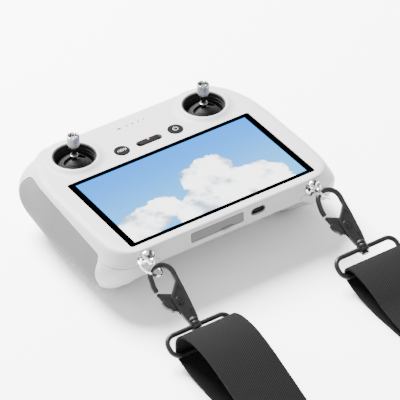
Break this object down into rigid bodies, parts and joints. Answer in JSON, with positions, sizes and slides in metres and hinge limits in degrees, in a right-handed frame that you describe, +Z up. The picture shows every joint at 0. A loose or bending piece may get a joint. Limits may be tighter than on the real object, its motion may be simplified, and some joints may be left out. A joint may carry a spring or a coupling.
{
  "type": "radio transmitter controller",
  "caption": "Hand-held drone radio transmitter with a built-in touchscreen, two thumb sticks, shoulder dials and a clip-on webbing neck strap.",
  "frame": {"origin": "on the table, under the middle of the transmitter's width and length, the free strap left out", "axes": "+X to the pilot's right, +Y away from the pilot across the screen, +Z up out of the face"},
  "size_m": [0.1708, 0.3414, 0.0612],
  "materials": {
    "white_shell": "fine satin texture",
    "grip_rubber": "fine-grained soft rubber",
    "port_rubber": "smooth rubber",
    "foot_rubber": "matte",
    "screw_steel": "turned",
    "screen_glass": "polished cover glass with a black border",
    "display": "lit picture",
    "circuit_board": "solder mask",
    "battery_sleeve": "shrink sleeve",
    "dark_plastic": "satin",
    "gimbal_plastic": "satin",
    "stick_aluminium": "turned and knurled",
    "strap_chrome": "polished",
    "hook_metal": "black nickel, satin",
    "light_guide": "smoked",
    "port_steel": "stamped",
    "webbing": "ribbed woven polyester"
  },
  "bodies": {
    "housing": {"top_shell": "white_shell", "bottom_shell": "white_shell", "left_grip_pad": "grip_rubber", "right_grip_pad": "grip_rubber", "foot_near_left": "foot_rubber", "foot_near_right": "foot_rubber", "foot_far_left": "foot_rubber", "foot_far_right": "foot_rubber", "case_screw_1": "screw_steel", "case_screw_2": "screw_steel", "case_screw_3": "screw_steel", "case_screw_4": "screw_steel", "screen_glass": "screen_glass", "display_panel": "display", "main_board": "circuit_board", "key_board": "circuit_board", "left_battery_cell": "battery_sleeve", "right_battery_cell": "battery_sleeve", "speaker_grille": "dark_plastic", "speaker": "dark_plastic", "vent_grille": "dark_plastic", "stick_tray": "dark_plastic", "left_gimbal_housing": "gimbal_plastic", "right_gimbal_housing": "gimbal_plastic", "light_guide": "light_guide", "card_reader": "port_steel", "charge_port": "port_steel", "left_strap_post": "strap_chrome", "right_strap_post": "strap_chrome", "left_strap_loop": "hook_metal", "right_strap_loop": "hook_metal", "strap_left_run": "webbing", "strap_right_run": "webbing", "strap_hank": "webbing", "strap_tie": "webbing"},
    "left_yoke": {"left_gimbal_yoke": "gimbal_plastic"},
    "left_stick": {"left_stick_carrier": "gimbal_plastic", "left_stick_shaft": "stick_aluminium", "left_stick_knob": "stick_aluminium"},
    "right_yoke": {"right_gimbal_yoke": "gimbal_plastic"},
    "right_stick": {"right_stick_carrier": "gimbal_plastic", "right_stick_shaft": "stick_aluminium", "right_stick_knob": "stick_aluminium"},
    "return_button": {"return_button": "dark_plastic"},
    "power_button": {"power_button": "dark_plastic"},
    "mode_slider": {"mode_slider": "dark_plastic"},
    "record_button": {"record_button": "dark_plastic"},
    "shutter_button": {"shutter_button": "dark_plastic"},
    "c1_button": {"c1_button": "dark_plastic"},
    "c2_button": {"c2_button": "dark_plastic"},
    "left_dial": {"left_dial": "dark_plastic"},
    "right_dial": {"right_dial": "dark_plastic"},
    "port_cover": {"port_cover": "port_rubber"},
    "left_ring": {"left_split_ring": "strap_chrome"},
    "left_hook": {"left_snap_hook": "hook_metal"},
    "left_gate": {"left_hook_gate": "hook_metal"},
    "right_ring": {"right_split_ring": "strap_chrome"},
    "right_hook": {"right_snap_hook": "hook_metal"},
    "right_gate": {"right_hook_gate": "hook_metal"}
  },
  "joints": [
    {"name": "left_stick_pitch", "type": "hinge", "parent": "housing", "child": "left_yoke", "pos_m": [-0.0465, 0.043, 0.033], "axis": [1, 0, 0], "range_deg": [-20, 20], "stiffness_Nm_per_rad": 0.02},
    {"name": "left_stick_roll", "type": "hinge", "parent": "left_yoke", "child": "left_stick", "pos_m": [-0.0465, 0.043, 0.033], "axis": [0, 1, 0], "range_deg": [-20, 20], "stiffness_Nm_per_rad": 0.02},
    {"name": "right_stick_pitch", "type": "hinge", "parent": "housing", "child": "right_yoke", "pos_m": [0.0465, 0.043, 0.033], "axis": [1, 0, 0], "range_deg": [-20, 20], "stiffness_Nm_per_rad": 0.02},
    {"name": "right_stick_roll", "type": "hinge", "parent": "right_yoke", "child": "right_stick", "pos_m": [0.0465, 0.043, 0.033], "axis": [0, 1, 0], "range_deg": [-20, 20], "stiffness_Nm_per_rad": 0.02},
    {"name": "return_press", "type": "slide", "parent": "housing", "child": "return_button", "axis": [0, 0, -1], "range_m": [0, 0.0006], "stiffness_N_per_m": 400},
    {"name": "power_press", "type": "slide", "parent": "housing", "child": "power_button", "axis": [0, 0, -1], "range_m": [0, 0.0006], "stiffness_N_per_m": 400},
    {"name": "mode_slide", "type": "slide", "parent": "housing", "child": "mode_slider", "axis": [1, 0, 0], "range_m": [-0.0018, 0.0018]},
    {"name": "record_press", "type": "slide", "parent": "housing", "child": "record_button", "axis": [0, -1, 0], "range_m": [0, 0.001], "stiffness_N_per_m": 400},
    {"name": "shutter_press", "type": "slide", "parent": "housing", "child": "shutter_button", "axis": [0, -1, 0], "range_m": [0, 0.001], "stiffness_N_per_m": 400},
    {"name": "c1_press", "type": "slide", "parent": "housing", "child": "c1_button", "axis": [0, 0, 1], "range_m": [0, 0.0006], "stiffness_N_per_m": 400},
    {"name": "c2_press", "type": "slide", "parent": "housing", "child": "c2_button", "axis": [0, 0, 1], "range_m": [0, 0.0006], "stiffness_N_per_m": 400},
    {"name": "left_dial_turn", "type": "hinge", "parent": "housing", "child": "left_dial", "pos_m": [-0.0623, 0.0585, 0.026], "axis": [0, 0, 1], "range_deg": [-35, 35], "stiffness_Nm_per_rad": 0.005},
    {"name": "right_dial_turn", "type": "hinge", "parent": "housing", "child": "right_dial", "pos_m": [0.0623, 0.0585, 0.026], "axis": [0, 0, 1], "continuous": true},
    {"name": "port_cover_hinge", "type": "hinge", "parent": "housing", "child": "port_cover", "pos_m": [-0.0275, -0.05755, 0.0379], "axis": [0, 0, -1], "range_deg": [0, 110]},
    {"name": "left_ring_swing", "type": "hinge", "parent": "housing", "child": "left_ring", "pos_m": [-0.0581, -0.0627, 0.0383], "axis": [1, 0, 0], "range_deg": [-3, 4], "stiffness_Nm_per_rad": 0.01},
    {"name": "left_hook_swivel", "type": "hinge", "parent": "housing", "child": "left_hook", "pos_m": [-0.05524, -0.10385, 0.01639], "axis": [0.044, 0.8375, 0.5447], "range_deg": [-4, 5], "stiffness_Nm_per_rad": 0.01},
    {"name": "left_gate_open", "type": "hinge", "parent": "left_hook", "child": "left_gate", "pos_m": [-0.05709, -0.08947, 0.02564], "axis": [0.0339, 0.5436, -0.8386], "range_deg": [0, 24], "stiffness_Nm_per_rad": 0.02},
    {"name": "right_ring_swing", "type": "hinge", "parent": "housing", "child": "right_ring", "pos_m": [0.0588, -0.0627, 0.0382], "axis": [1, 0, 0], "range_deg": [-3, 4], "stiffness_Nm_per_rad": 0.01},
    {"name": "right_hook_swivel", "type": "hinge", "parent": "housing", "child": "right_hook", "pos_m": [0.06395, -0.10177, 0.01752], "axis": [0.044, 0.8375, 0.5447], "range_deg": [-4, 5], "stiffness_Nm_per_rad": 0.01},
    {"name": "right_gate_open", "type": "hinge", "parent": "right_hook", "child": "right_gate", "pos_m": [0.0621, -0.08739, 0.02677], "axis": [0.0339, 0.5436, -0.8386], "range_deg": [0, 24], "stiffness_Nm_per_rad": 0.02}
  ]
}
